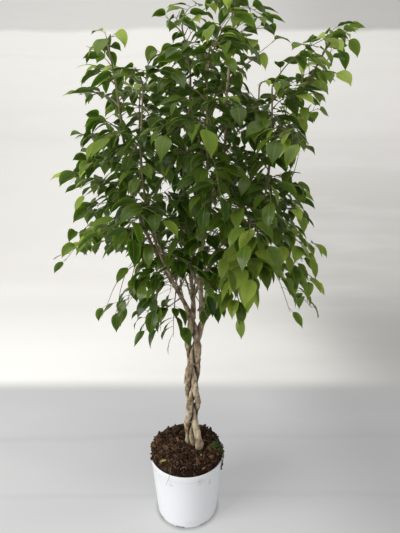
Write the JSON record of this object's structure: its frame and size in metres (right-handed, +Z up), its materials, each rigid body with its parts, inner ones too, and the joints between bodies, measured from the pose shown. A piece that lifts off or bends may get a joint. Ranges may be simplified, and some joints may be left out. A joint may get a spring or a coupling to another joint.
{
  "type": "weeping fig",
  "caption": "Weeping fig with a braided trunk and an open crown of arching, drooping leafy shoots, standing in a tapered round nursery pot.",
  "frame": {"origin": "centre of the flat underside of the pot", "axes": "+Z up along the pot's axis, -Y towards the side that is seen from the front, +X to the right as seen from the front"},
  "size_m": [0.7685, 0.7249, 1.3655],
  "materials": {
    "pot": "white moulded polypropylene, slightly glossy",
    "soil": "dark, damp, coarse potting mix with bark chips; its density is near that of damp wood",
    "bark": "grey-brown living bark, smooth with lenticels",
    "leaf": "glossy dark green living leaves on green-brown twigs",
    "fallen_leaf": "dull yellow-green"
  },
  "bodies": {
    "root": {"fallen_leaf": "fallen_leaf", "pot": "pot", "shoot_01": "leaf", "shoot_02": "leaf", "shoot_03": "leaf", "shoot_04": "leaf", "shoot_05": "leaf", "shoot_06": "leaf", "shoot_07": "leaf", "shoot_08": "leaf", "shoot_09": "leaf", "shoot_10": "leaf", "shoot_11": "leaf", "shoot_12": "leaf", "shoot_13": "leaf", "shoot_14": "leaf", "shoot_15": "leaf", "shoot_16": "leaf", "shoot_17": "leaf", "shoot_18": "leaf", "shoot_19": "leaf", "shoot_20": "leaf", "shoot_21": "leaf", "shoot_22": "leaf", "shoot_23": "leaf", "shoot_24": "leaf", "shoot_25": "leaf", "shoot_26": "leaf", "shoot_27": "leaf", "shoot_28": "leaf", "shoot_29": "leaf", "shoot_30": "leaf", "shoot_31": "leaf", "shoot_32": "leaf", "shoot_33": "leaf", "shoot_34": "leaf", "shoot_35": "leaf", "shoot_36": "leaf", "shoot_37": "leaf", "shoot_38": "leaf", "shoot_39": "leaf", "shoot_40": "leaf", "shoot_41": "leaf", "shoot_42": "leaf", "shoot_43": "leaf", "shoot_44": "leaf", "shoot_45": "leaf", "shoot_46": "leaf", "shoot_47": "leaf", "shoot_48": "leaf", "shoot_49": "leaf", "shoot_50": "leaf", "shoot_51": "leaf", "shoot_52": "leaf", "shoot_53": "leaf", "shoot_54": "leaf", "soil": "soil", "stem_1": "bark", "stem_2": "bark", "stem_3": "bark"}
  },
  "joints": []
}
